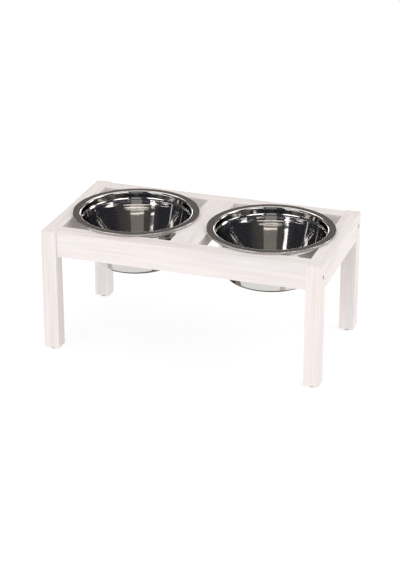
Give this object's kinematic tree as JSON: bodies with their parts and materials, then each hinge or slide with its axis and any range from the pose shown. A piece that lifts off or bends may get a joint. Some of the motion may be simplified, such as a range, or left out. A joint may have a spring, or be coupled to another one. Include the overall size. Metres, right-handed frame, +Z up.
{
  "type": "elevated pet feeder",
  "caption": "Low whitewashed wooden stand with posts, rails and a middle crossbar, holding lift-out round steel bowls by their rims.",
  "frame": {"origin": "on the floor under the middle of the stand, at the centre of its footprint", "axes": "+X right along the long rails as seen from the front, +Y towards the back, +Z up"},
  "size_m": [0.48, 0.256, 0.2188],
  "materials": {
    "whitewashed_wood": "whitewashed softwood, matt",
    "polished_steel": "polished stainless sheet",
    "dark_steel": "black oxide",
    "zinc_steel": "zinc plated",
    "dowel_wood": "bare beech",
    "dark_plastic": "satin moulded plastic"
  },
  "bodies": {
    "stand": {"post_front_left": "whitewashed_wood", "post_front_right": "whitewashed_wood", "post_back_left": "whitewashed_wood", "post_back_right": "whitewashed_wood", "end_rail_left": "whitewashed_wood", "end_rail_right": "whitewashed_wood", "front_rail": "whitewashed_wood", "back_rail": "whitewashed_wood", "center_crossbar": "whitewashed_wood", "corner_bolts": "dark_steel", "barrel_nuts": "zinc_steel", "long_rail_dowels": "dowel_wood", "end_rail_dowels": "dowel_wood", "crossbar_dowels": "dowel_wood", "glide_front_left": "dark_plastic", "glide_front_right": "dark_plastic", "glide_back_left": "dark_plastic", "glide_back_right": "dark_plastic", "glide_nails": "zinc_steel"},
    "left_bowl": {"bowl_left": "polished_steel"},
    "right_bowl": {"bowl_right": "polished_steel"}
  },
  "joints": [
    {"name": "bowl_left_lift", "type": "slide", "parent": "stand", "child": "left_bowl", "axis": [0, 0, 1], "range_m": [0, 0.12]},
    {"name": "bowl_right_lift", "type": "slide", "parent": "stand", "child": "right_bowl", "axis": [0, 0, 1], "range_m": [0, 0.12]}
  ]
}
